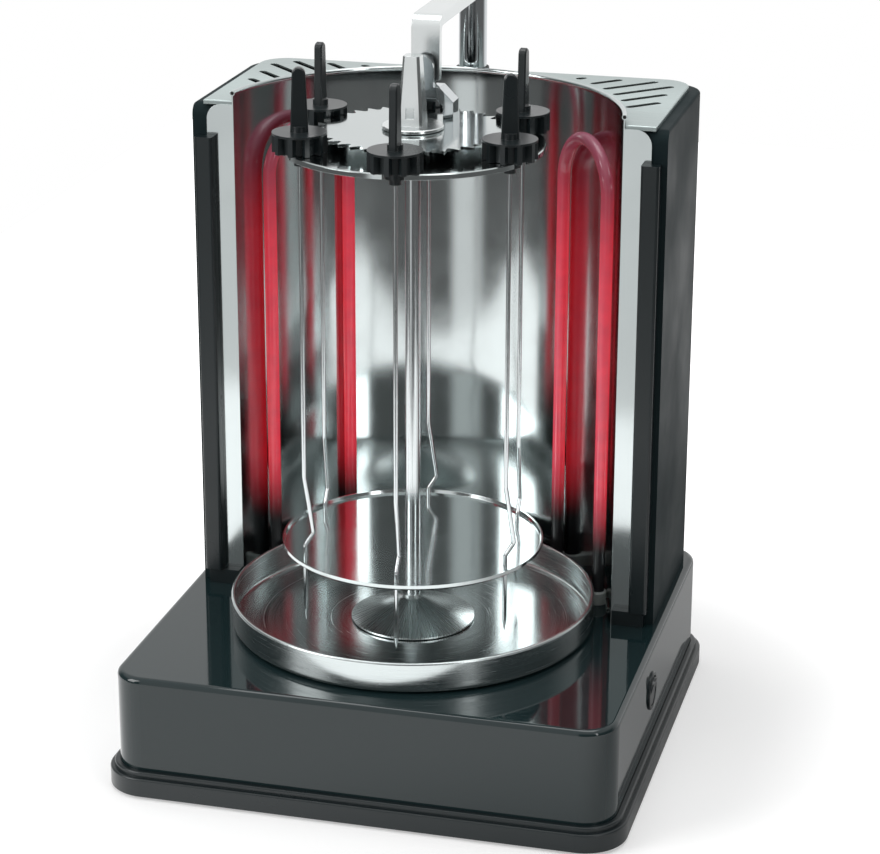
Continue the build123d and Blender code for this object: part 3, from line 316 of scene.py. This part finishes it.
@dataclass(frozen=True)
class HotSheath(Finish):
    """Steel-sheathed heating tube: dark oxide on the cold ends, red heat above."""

    glow: str = "C8141E"
    strength: float = 0.85
    cold: float = 0.105
    hot: float = 0.150
    fade: float = 0.27
    arch: float = 0.355
    arch_heat: float = 0.16
    oxide: str = "2A2A2C"
    mottle_mm: float = 9.0
    mottle_low: float = 0.85
    mottle_high: float = 1.1
    scale_mm: float = 1.2
    scale_depth_mm: float = 0.01

    def pattern(self, tree: bpy.types.NodeTree, shader: bpy.types.Node) -> None:
        """Raise the heat above the cold ends, lower it in the arch and mottle it a little.

        Args:
            tree: The material's node tree.
            shader: Its principled shader.
        """
        place = add_node(tree, "ShaderNodeTexCoord").outputs["Object"]
        height = add_node(tree, "ShaderNodeSeparateXYZ", {}, {"Vector": place}).outputs["Z"]
        heat = add_node(tree, "ShaderNodeMapRange", SMOOTH,
                        {"Value": height, "From Min": self.cold, "From Max": self.hot}).outputs["Result"]
        cooler = add_node(tree, "ShaderNodeMapRange", SMOOTH,
                          {"Value": height, "From Min": self.fade, "From Max": self.arch,
                           "To Min": 1.0, "To Max": self.arch_heat}).outputs["Result"]
        mottle = self.noise(tree, self.mottle_mm, 4.0)
        power = self.spread(tree, mottle, self.mottle_low, self.mottle_high)
        for factor in (heat, cooler, self.strength):
            power = add_node(tree, "ShaderNodeMath", {"operation": "MULTIPLY"},
                             {0: power, 1: factor}).outputs["Value"]
        tint = add_node(tree, "ShaderNodeMix", {"data_type": "RGBA"},
                        {"Factor": heat, "A": linear(self.oxide), "B": linear(self.colour)})
        tree.links.new(tint.outputs["Result"], shader.inputs["Base Color"])
        shader.inputs["Emission Color"].default_value = linear(self.glow)
        tree.links.new(power, shader.inputs["Emission Strength"])
        self.bump(tree, shader, self.noise(tree, self.scale_mm, 2.0), self.scale_depth_mm)


class Finishes:
    """The grill's finishes, one material each."""

    def __init__(self) -> None:
        """Build every material once."""
        # Polished black ABS: deep green-black body colour under a sharp clear reflection.
        self.gloss_abs = GrainySkin("polished_black_abs", "172628", 0.05,
                                    grain_mm=2.4, depth_mm=0.003, specular=0.45).build()
        # Spark-eroded black ABS: wide soft highlights.
        self.satin_abs = GrainySkin("spark_eroded_black_abs", "161E20", 0.3,
                                    grain_mm=0.7, depth_mm=0.012, specular=0.4).build()
        # Stove-enamelled steel sheet: smooth and dark with a low, soft sheen.
        self.enamel = GrainySkin("black_enamelled_steel", "1F292B", 0.42,
                                 grain_mm=3.0, depth_mm=0.004, specular=0.02).build()
        # Glass-filled black nylon: semi-gloss with a pale sheen on level faces.
        self.nylon = GrainySkin("black_glass_filled_nylon", "171E20", 0.28,
                                grain_mm=0.5, depth_mm=0.01).build()
        # Satin nickel plate: bright and pale, with highlights that fade softly at their edges.
        self.nickel = PolishedSteel("satin_nickel_plate", "DCE0E0", 0.2,
                                    metallic=1.0, wave_mm=20.0, wave_depth_mm=0.02).build()
        # Spun cone, polished outward from its neck: pale spokes in its highlight.
        self.cone_steel = BrushedSteel("spoke_polished_stainless", "D8DEDE", 0.26,
                                       metallic=1.0, lay=Lay.SPOKES, depth_mm=0.006).build()
        # Mirror-rolled stainless sheet: clear reflections, slightly wavy and a little grey.
        self.mirror = PolishedSteel("mirror_rolled_stainless", "BCC3C3", 0.09, metallic=1.0).build()
        # Bright chromium plate on pressed steel: the sharpest reflections on the grill.
        self.chrome = PolishedSteel("bright_chrome_plate", "CBD0D2", 0.05,
                                    metallic=1.0, wave_mm=15.0, wave_depth_mm=0.03).build()
        # Satin-brushed stainless: grey, with straight scratches across that soften its sheen.
        self.satin_steel = BrushedSteel("satin_brushed_stainless", "B2BDBC", 0.38,
                                        metallic=1.0, lay=Lay.ACROSS).build()
        # Spun stainless tray: ring scratches from the lathe.
        self.spun_steel = BrushedSteel("spun_stainless", "BAC1C1", 0.2,
                                       metallic=1.0, lay=Lay.RINGS, depth_mm=0.004).build()
        # Drawn bar and wire: scratches along the length, which draw its highlights out.
        self.drawn_steel = BrushedSteel("drawn_stainless", "C4C9CA", 0.18,
                                        metallic=1.0, lay=Lay.UPRIGHT, depth_mm=0.004).build()
        # Heating tube at red heat: a red glow above dark ends, dimmer in the arch.
        self.hot_tube = HotSheath("red_hot_steel_sheath", "8A566A", 0.16).build()
        # Unglazed steatite ceramic: pale and dry, with a fine pressed grain.
        self.steatite = GrainySkin("steatite_ceramic", "A9AEAB", 0.5,
                                   grain_mm=0.6, depth_mm=0.015).build()
        # Black silicone rubber: dull and even, with a fine moulded grain.
        self.rubber = GrainySkin("black_silicone_rubber", "141717", 0.6,
                                 grain_mm=0.4, depth_mm=0.02).build()
        # Zinc-plated steel: grey, with blurred and slightly cloudy reflections.
        self.zinc = PolishedSteel("zinc_plated_steel", "A9ACAD", 0.35,
                                  metallic=1.0, wave_mm=6.0, wave_depth_mm=0.02).build()
        # Natural nylon of hidden parts: cream, with a dull waxy surface.
        self.natural_nylon = GrainySkin("natural_nylon", "C9C3B0", 0.5).build()
        # Painted shade: a near-black disc stands for the unlit inside of an open tube end, with a trace of
        # rolled texture.
        self.painted_bore_shade = GrainySkin("painted_shade_tube_end", "060707", 0.8,
                                 grain_mm=0.4, depth_mm=0.01).build()


# ---------------------------------------------------------------- mesh helpers
def as_object(name: str, made: bmesh.types.BMesh, material: bpy.types.Material) -> bpy.types.Object:
    """Turn mesh code's result into a shown, smoothly shaded object.

    Args:
        name: The object's name.
        made: The finished mesh; it is freed.
        material: Its finish.

    Returns:
        The new object, linked to the scene.
    """
    bmesh.ops.recalc_face_normals(made, faces=made.faces)
    mesh = bpy.data.meshes.new(name)
    made.to_mesh(mesh)
    made.free()
    mesh.materials.append(material)
    mesh.shade_smooth()
    mesh.set_sharp_from_angle(angle=math.radians(SHARP_ANGLE))
    made_object = bpy.data.objects.new(name, mesh)
    bpy.context.scene.collection.objects.link(made_object)
    return made_object


def lathe(profile: list[tuple[float, float]], place: Matrix, sides: int = 48) -> bmesh.types.BMesh:
    """Turn a closed profile about a local Z axis.

    Args:
        profile: Radius and height of each point, in metres; a radius of zero closes the end.
        place: Where the local frame goes.
        sides: Facets round the axis.

    Returns:
        The turned mesh.
    """
    made = bmesh.new()
    rows = []
    for radius, height in profile:
        if radius < ON_AXIS:
            rows.append([made.verts.new(place @ Vector((0, 0, height)))])
            continue
        turn = [2 * math.pi * i / sides for i in range(sides)]
        points = [Vector((radius * math.cos(t), radius * math.sin(t), height)) for t in turn]
        rows.append([made.verts.new(place @ point) for point in points])
    for low, high in zip(rows, rows[1:]):
        for i in range(sides):
            j = (i + 1) % sides
            corners = [low[i % len(low)], low[j % len(low)], high[j % len(high)], high[i % len(high)]]
            unique = list(dict.fromkeys(corners))
            if len(unique) > 2:
                made.faces.new(unique)
    return made


def tube(path: list[Vector], outer: float, bore: float, sides: int = 20) -> bmesh.types.BMesh:
    """Sweep an open tube along a level path.

    Args:
        path: Points along the tube's middle, all at one height.
        outer: Outer radius.
        bore: Radius of the bore.
        sides: Facets round the tube.

    Returns:
        The tube with its two annular ends.
    """
    made = bmesh.new()
    rows = []
    for radius, points in ((outer, path), (bore, path[::-1])):
        for i, point in enumerate(points):
            along = (points[min(i + 1, len(points) - 1)] - points[max(i - 1, 0)]).normalized()
            along = along if radius == outer else -along
            across = along.cross(Vector((0, 0, 1)))
            turn = [2 * math.pi * k / sides for k in range(sides)]
            rows.append([made.verts.new(point + radius * (math.cos(t) * across + Vector((0, 0, math.sin(t)))))
                         for t in turn])
    for low, high in zip(rows, rows[1:] + rows[:1]):
        for i in range(sides):
            j = (i + 1) % sides
            made.faces.new([low[i], low[j], high[j], high[i]])
    return made


def facing(place: Vector, direction: Vector) -> Matrix:
    """Frame at a point with its local Z along a direction.

    Args:
        place: Origin of the frame.
        direction: Where local Z points.

    Returns:
        The frame as a matrix.
    """
    return Matrix.Translation(place) @ direction.to_track_quat("Z", "Y").to_matrix().to_4x4()


# ---------------------------------------------------------------- sub-assemblies
@dataclass
class SubAssembly:
    """A group of the grill's pieces; it dresses its CAD nodes and adds fine pieces to them."""

    finishes: Finishes
    body: str = "root"

    def dress(self, material: bpy.types.Material, *nodes: str) -> None:
        """Give CAD nodes a finish.

        Args:
            material: The finish.
            nodes: Names of the CAD nodes.
        """
        for name in nodes:
            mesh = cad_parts[name].data
            mesh.materials.clear()
            mesh.materials.append(material)
            LOG.info("dressed %s with %s", name, material.name)

    def add(self, name: str, made: bmesh.types.BMesh, material: bpy.types.Material,
            slot: str) -> None:
        """Add a fine piece that moves with this sub-assembly's body.

        Args:
            name: The piece's name.
            made: Its mesh.
            material: Its finish.
            slot: The record's material slot; not used.
        """
        piece = as_object(name, made, material)
        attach(piece, self.body)
        LOG.info("built %s", name)

    def screw(self, name: str, place: Vector, direction: Vector, radius: float) -> None:
        """Add a domed screw head with a round dimple for its recess.

        Args:
            name: The screw's name.
            place: Centre of its seat.
            direction: Where its head points.
            radius: Radius of its head.
        """
        rise = radius * HEAD_RISE
        turn = [math.radians(10 * i) for i in range(9)]
        arc = [(radius * math.cos(a), rise * math.sin(a)) for a in turn]
        dome = [point for point in arc if point[0] > radius * DOME_END]
        dimple = [(radius * across, rise * up) for across, up in DIMPLE]
        profile = [(radius, -HEAD_SINK), *dome, *dimple]
        made = lathe(profile, facing(place, direction), SMALL_SIDES)
        self.add(name, made, self.finishes.zinc, "screw_steel")


@dataclass
class Base(SubAssembly):
    """Glossy base cover, its skirt, feet, drive and electrics."""

    def build(self) -> None:
        """Dress the base."""
        self.dress(self.finishes.gloss_abs, "base_housing")
        self.dress(self.finishes.satin_abs, "base_floor", "switch_case")
        self.dress(self.finishes.rubber, "base_feet", "cord_gland")
        self.dress(self.finishes.zinc, "floor_screws", "motor_screws", "drive_motor", "heat_cutout")
        self.dress(self.finishes.steatite, "terminal_block")


@dataclass
class Switch(SubAssembly):
    """Rocker of the switch on the right wall."""

    body: str = "switch"

    def build(self) -> None:
        """Dress the rocker."""
        self.dress(self.finishes.nylon, "switch_rocker")


@dataclass
class Tower(SubAssembly):
    """Enamelled shell, reflector, slotted plate and trim strips."""

    bead_hole: float = 1.05 * MM
    screw_radius: float = 2.6 * MM
    back_inset: float = 14 * MM
    wall_radius: float = 116 * MM
    wall_offset: float = 8 * MM
    foot_radius: float = 1.5 * MM
    foot_gap: float = 0.1 * MM
    foot_start: float = 8.9
    foot_end: float = 17.0
    rim_depth: float = 3.05 * MM
    end_depth: float = 0.05 * MM
    hole_rise: float = 0.08 * MM

    def build(self) -> None:
        """Dress the tower and add near-black discs of painted shade at the rolled rim's open ends, foot beads
        and back screws.
        """
        self.dress(self.finishes.enamel, "tower_shell")
        self.dress(self.finishes.mirror, "reflector")
        self.dress(self.finishes.satin_steel, "top_plate")
        self.dress(self.finishes.satin_abs, "trim_strip_right", "trim_strip_left")
        self.bead_ends()
        self.foot_beads()
        self.back_screws()

    def foot_beads(self) -> None:
        """Roll the wall's foot into a short open tube beside each front flange."""
        ring = self.wall_radius - self.foot_radius - self.foot_gap
        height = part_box("base_housing")[1].z + self.foot_radius + self.foot_gap
        steps = 12
        for side, name in ((1, "right"), (-1, "left")):
            turn = [math.radians(self.foot_start + (self.foot_end - self.foot_start) * i / steps)
                    for i in range(steps + 1)]
            path = [Vector((side * (SPIT_X + ring * math.cos(t)), SPIT_Y + self.wall_offset + ring * math.sin(t),
                            height)) for t in turn]
            self.add(f"wall_foot_bead_{name}", tube(path, self.foot_radius, self.bead_hole),
                     self.finishes.mirror, "mirror_steel")

    def bead_ends(self) -> None:
        """Put a near-black disc of painted shade where the rolled rim ends in front, so it reads as an open
        tube.
        """
        rim_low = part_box("reflector")[1].z - self.rim_depth
        rim = [v.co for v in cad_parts["reflector"].data.vertices if v.co.z > rim_low]
        front = min(co.y for co in rim)
        end = [co for co in rim if co.y < front + self.end_depth]
        for side, name in ((1, "right"), (-1, "left")):
            face = [co for co in end if co.x * side > 0]
            middle = Vector([(min(c[i] for c in face) + max(c[i] for c in face)) / 2 for i in range(3)])
            middle.y = front
            profile = [(self.bead_hole, 0.0), (self.bead_hole, self.hole_rise), (0.0, self.hole_rise)]
            # A thin near-black disc paints the shade inside the tube end.
            made = lathe(profile, facing(middle, Vector((0, -1, 0))), SMALL_SIDES)
            self.add(f"rim_end_painted_shade_{name}", made, self.finishes.painted_bore_shade, "mirror_steel")

    def back_screws(self) -> None:
        """Four screws that hold the shell at the back."""
        low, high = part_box("tower_shell")
        heights = (low.z + self.back_inset, high.z - self.back_inset)
        corners = [(side, height) for side in (-1, 1) for height in heights]
        for i, (side, height) in enumerate(corners, start=1):
            place = Vector((side * (high.x - 3 * self.back_inset), high.y, height))
            self.screw(f"shell_screw_{i}", place, Vector((0, 1, 0)), self.screw_radius)


@dataclass
class Heaters(SubAssembly):
    """Two red-hot tubes in their ceramic bushes."""

    def build(self) -> None:
        """Dress the tubes and bushes."""
        self.dress(self.finishes.hot_tube, "heater_right", "heater_left")
        self.dress(self.finishes.steatite, "heater_bushes")


@dataclass
class Tray(SubAssembly):
    """Spun drip tray."""

    def build(self) -> None:
        """Dress the tray."""
        self.dress(self.finishes.spun_steel, "drip_tray")


@dataclass
class Spit(SubAssembly):
    """Shaft with its discs, drip cone and hub."""

    body: str = "spit"

    def build(self) -> None:
        """Dress the spit."""
        self.dress(self.finishes.natural_nylon, "drive_coupling")
        self.dress(self.finishes.drawn_steel, "spit_shaft")
        self.dress(self.finishes.mirror, "lower_disc", "upper_disc")
        self.dress(self.finishes.cone_steel, "drip_cone")
        self.dress(self.finishes.nickel, "spit_hub", "hub_collar")


@dataclass
class Skewers(SubAssembly):
    """Six wire skewers with moulded geared heads."""

    count: int = 6

    def build(self) -> None:
        """Dress every rod and head."""
        for k in range(1, self.count + 1):
            self.dress(self.finishes.drawn_steel, f"skewer_rod_{k}")
            self.dress(self.finishes.nylon, f"skewer_head_{k}")


@dataclass
class GearDrive(SubAssembly):
    """Still gear and the yoke that holds it."""

    def build(self) -> None:
        """Dress the gear and yoke."""
        self.dress(self.finishes.mirror, "sun_gear")
        self.dress(self.finishes.chrome, "gear_yoke")


@dataclass
class Arm(SubAssembly):
    """Chrome arm with its post, cap and guide."""

    body: str = "arm"

    def build(self) -> None:
        """Dress the arm and what it slides in."""
        self.dress(self.finishes.chrome, "arm_post", "arm_cap")
        self.dress(self.finishes.nickel, "arm_bar")
        self.dress(self.finishes.drawn_steel, "arm_guide")
        self.dress(self.finishes.rubber, "arm_ring")


# ---------------------------------------------------------------- studio
@dataclass
class Studio:
    """White studio: paper sheet, world and soft lamps, and the camera at the photograph's place."""

    target: tuple[float, float, float] = (0.0, -0.0101, 0.1937)
    azimuth: float = 15.1
    elevation: float = 19.7
    distance: float = 1.5825
    focal_px: float = 2716.9
    centre_px: tuple[float, float] = (414.7, 424.6)
    image_px: tuple[int, int] = (880, 854)
    sensor_mm: float = 36.0
    paper_half_width: float = 0.68
    paper_front: float = 0.55
    paper_back: float = 1.5
    paper_corner: float = 0.1
    # Centre of a painted shade zone on the paper that mirrors see.
    painted_shade_centre: tuple[float, float, float] = (0.25, 0.18, 0.0)
    room_mirrored: float = 0.15
    room_fill: float = 0.18
    backdrop_fill: float = 0.6
    card_side: float = -0.24
    paper_near: float = 0.2
    paper_far: float = 0.42
    paper_dim: float = 0.4
    painted_shade_near: float = 0.25
    painted_shade_far: float = 0.5
    sky_low: float = 0.35
    sky_high: float = 0.75
    wall_low: float = 0.2
    wall_high: float = 0.75
    card_inner: float = 0.08
    card_outer: float = 0.2

    def camera(self) -> None:
        """Make the camera that took the photograph."""
        wide, high = self.image_px
        data = bpy.data.cameras.new("photo_camera")
        data.sensor_width = self.sensor_mm
        data.lens = self.focal_px * self.sensor_mm / wide
        data.shift_x = (wide / 2 - self.centre_px[0]) / wide
        data.shift_y = (self.centre_px[1] - high / 2) / wide
        data.clip_end = 50.0
        camera = bpy.data.objects.new("photo_camera", data)
        bpy.context.scene.collection.objects.link(camera)
        a, e = math.radians(self.azimuth), math.radians(self.elevation)
        back = Vector((math.sin(a) * math.cos(e), -math.cos(a) * math.cos(e), math.sin(e)))
        camera.location = Vector(self.target) + back * self.distance
        camera.rotation_mode = "QUATERNION"
        camera.rotation_quaternion = (-back).to_track_quat("-Z", "Y")
        bpy.context.scene.camera = camera

    def white_paper(self) -> bpy.types.Material:
        """White paper that turns clean white away from the grill and still takes its shadow.

        Returns:
            The paper's material.
        """
        material = bpy.data.materials.new("white_studio_paper")
        material.use_nodes = True
        tree = material.node_tree
        shader = tree.nodes["Principled BSDF"]
        shader.inputs["Base Color"].default_value = linear("CFCFCF")
        shader.inputs["Roughness"].default_value = 0.9
        shader.inputs["Specular IOR Level"].default_value = 0.0
        fibre = add_node(tree, "ShaderNodeTexNoise", {}, {"Scale": 900.0, "Detail": 2.0})
        relief = add_node(tree, "ShaderNodeBump", {}, {"Height": fibre.outputs["Fac"], "Distance": 0.00005})
        tree.links.new(relief.outputs["Normal"], shader.inputs["Normal"])
        path = add_node(tree, "ShaderNodeLightPath")
        seen = add_node(tree, "ShaderNodeMath", {"operation": "MAXIMUM"},
                        {0: path.outputs["Is Camera Ray"], 1: path.outputs["Is Transmission Ray"]})
        place = add_node(tree, "ShaderNodeTexCoord").outputs["Object"]
        away = add_node(tree, "ShaderNodeVectorMath", {"operation": "LENGTH"}, {0: place}).outputs["Value"]
        lift = add_node(tree, "ShaderNodeMapRange", SMOOTH,
                        {"Value": away, "From Min": self.paper_near, "From Max": self.paper_far,
                         "To Min": self.paper_dim, "To Max": 1.0})
        # Painted shade: behind the grill on its right, mirror rays get no white glow from the paper, so mirrors
        # show it darker there, and white further out.
        shade = add_node(tree, "ShaderNodeVectorMath", {"operation": "DISTANCE"},
                         {0: place, 1: self.painted_shade_centre}).outputs["Value"]
        mirrored = add_node(tree, "ShaderNodeMapRange", SMOOTH,
                            {"Value": shade, "From Min": self.painted_shade_near,
                             "From Max": self.painted_shade_far, "To Min": 0.0, "To Max": 1.0})
        straight = add_node(tree, "ShaderNodeMath", {"operation": "MULTIPLY"},
                            {0: seen.outputs["Value"], 1: lift.outputs["Result"]})
        glossy = add_node(tree, "ShaderNodeMath", {"operation": "MULTIPLY"},
                          {0: path.outputs["Is Glossy Ray"], 1: mirrored.outputs["Result"]})
        power = add_node(tree, "ShaderNodeMath", {"operation": "MAXIMUM"},
                         {0: straight.outputs["Value"], 1: glossy.outputs["Value"]})
        shader.inputs["Emission Color"].default_value = WHITE
        tree.links.new(power.outputs["Value"], shader.inputs["Emission Strength"])
        return material

    def paper(self) -> None:
        """Lay a long sheet of paper with rounded corners under the grill."""
        wide, corner, steps = self.paper_half_width, self.paper_corner, 8
        made = bmesh.new()
        ring = []
        for cx, cy, start in ((wide, self.paper_back, 0), (-wide, self.paper_back, 90),
                              (-wide, -self.paper_front, 180), (wide, -self.paper_front, 270)):
            mx, my = cx - math.copysign(corner, cx), cy - math.copysign(corner, cy)
            for i in range(steps + 1):
                t = math.radians(start + 90 * i / steps)
                ring.append(made.verts.new((mx + corner * math.cos(t), my + corner * math.sin(t), 0.0)))
        made.faces.new(ring)
        floor = as_object("studio_paper", made, self.white_paper())

    def world(self) -> None:
        """White for the camera; for light and mirrors, bright above and behind and dim in front."""
        world = bpy.data.worlds.new("studio_world")
        bpy.context.scene.world = world
        world.use_nodes = True
        tree = world.node_tree
        tree.nodes.clear()
        sight = add_node(tree, "ShaderNodeTexCoord").outputs["Generated"]
        split = add_node(tree, "ShaderNodeSeparateXYZ", {}, {"Vector": sight})
        above = add_node(tree, "ShaderNodeMapRange", SMOOTH,
                         {"Value": split.outputs["Z"], "From Min": self.sky_low,
                          "From Max": self.sky_high})
        behind = add_node(tree, "ShaderNodeMapRange", SMOOTH,
                          {"Value": split.outputs["Y"], "From Min": self.wall_low,
                           "From Max": self.wall_high})
        lit = add_node(tree, "ShaderNodeMath", {"operation": "MAXIMUM"},
                       {0: above.outputs["Result"], 1: behind.outputs["Result"]})
        # A white card stands in front on the left; metal that faces front shows it as pale bands.
        aside = add_node(tree, "ShaderNodeMath", {"operation": "SUBTRACT"},
                         {0: split.outputs["X"], 1: self.card_side})
        aside = add_node(tree, "ShaderNodeMath", {"operation": "ABSOLUTE"}, {0: aside.outputs["Value"]})
        card = add_node(tree, "ShaderNodeMapRange", SMOOTH,
                        {"Value": aside.outputs["Value"], "From Min": self.card_inner,
                         "From Max": self.card_outer, "To Min": 1.0, "To Max": 0.0})
        shown = add_node(tree, "ShaderNodeMath", {"operation": "MAXIMUM"},
                         {0: lit.outputs["Value"], 1: card.outputs["Result"]})
        mirrored = add_node(tree, "ShaderNodeMapRange", {},
                            {"Value": shown.outputs["Value"], "To Min": self.room_mirrored, "To Max": 1.0})
        fill = add_node(tree, "ShaderNodeMapRange", {},
                        {"Value": lit.outputs["Value"], "To Min": self.room_fill, "To Max": self.backdrop_fill})
        path = add_node(tree, "ShaderNodeLightPath")
        # Mirrors show the white backdrop as the camera does, and the dim room in front of it.
        level = add_node(tree, "ShaderNodeMix", {"data_type": "FLOAT"},
                         {"Factor": path.outputs["Is Glossy Ray"], "A": fill.outputs["Result"],
                          "B": mirrored.outputs["Result"]})
        seen = add_node(tree, "ShaderNodeMath", {"operation": "MAXIMUM"},
                        {0: path.outputs["Is Camera Ray"], 1: path.outputs["Is Transmission Ray"]})
        power = add_node(tree, "ShaderNodeMath", {"operation": "MAXIMUM"},
                         {0: seen.outputs["Value"], 1: level.outputs["Result"]})
        glow = add_node(tree, "ShaderNodeBackground", {},
                        {"Color": WHITE, "Strength": power.outputs["Value"]})
        add_node(tree, "ShaderNodeOutputWorld", {}, {"Surface": glow.outputs["Background"]})

    def lamp(self, name: str, place: tuple[float, float, float], size: tuple[float, float],
             watts: float) -> None:
        """Hang one soft box that faces the grill.

        Args:
            name: The lamp's name.
            place: Where it hangs.
            size: Width and height of its face.
            watts: Its power.
        """
        data = bpy.data.lights.new(name, "AREA")
        data.shape = "RECTANGLE"
        data.size, data.size_y = size
        data.energy = watts
        lamp = bpy.data.objects.new(name, data)
        lamp.location = place
        aim = Vector(self.target) - Vector(place)
        lamp.rotation_mode = "QUATERNION"
        lamp.rotation_quaternion = aim.to_track_quat("-Z", "Y")
        bpy.context.scene.collection.objects.link(lamp)

    def build(self) -> None:
        """Set up the whole studio."""
        self.camera()
        self.paper()
        self.world()
        self.lamp("softbox_left", (-1.5, -1.2, 1.1), (0.9, 1.4), 26.0)
        self.lamp("softbox_right", (1.5, -1.3, 0.9), (0.3, 1.2), 6.0)
        self.lamp("softbox_top", (0.0, 0.1, 2.0), (1.4, 1.0), 14.0)
        bpy.context.scene.view_settings.view_transform = "Standard"


def main() -> None:
    """Build the studio and the sub-assemblies in order."""
    logging.basicConfig(level=logging.INFO, format="%(name)s: %(message)s")
    Studio().build()
    finishes = Finishes()
    for kind in (Base, Switch, Tower, Heaters, Tray, Spit, Skewers, GearDrive, Arm):
        kind(finishes).build()


if __name__ == "__main__":
    main()
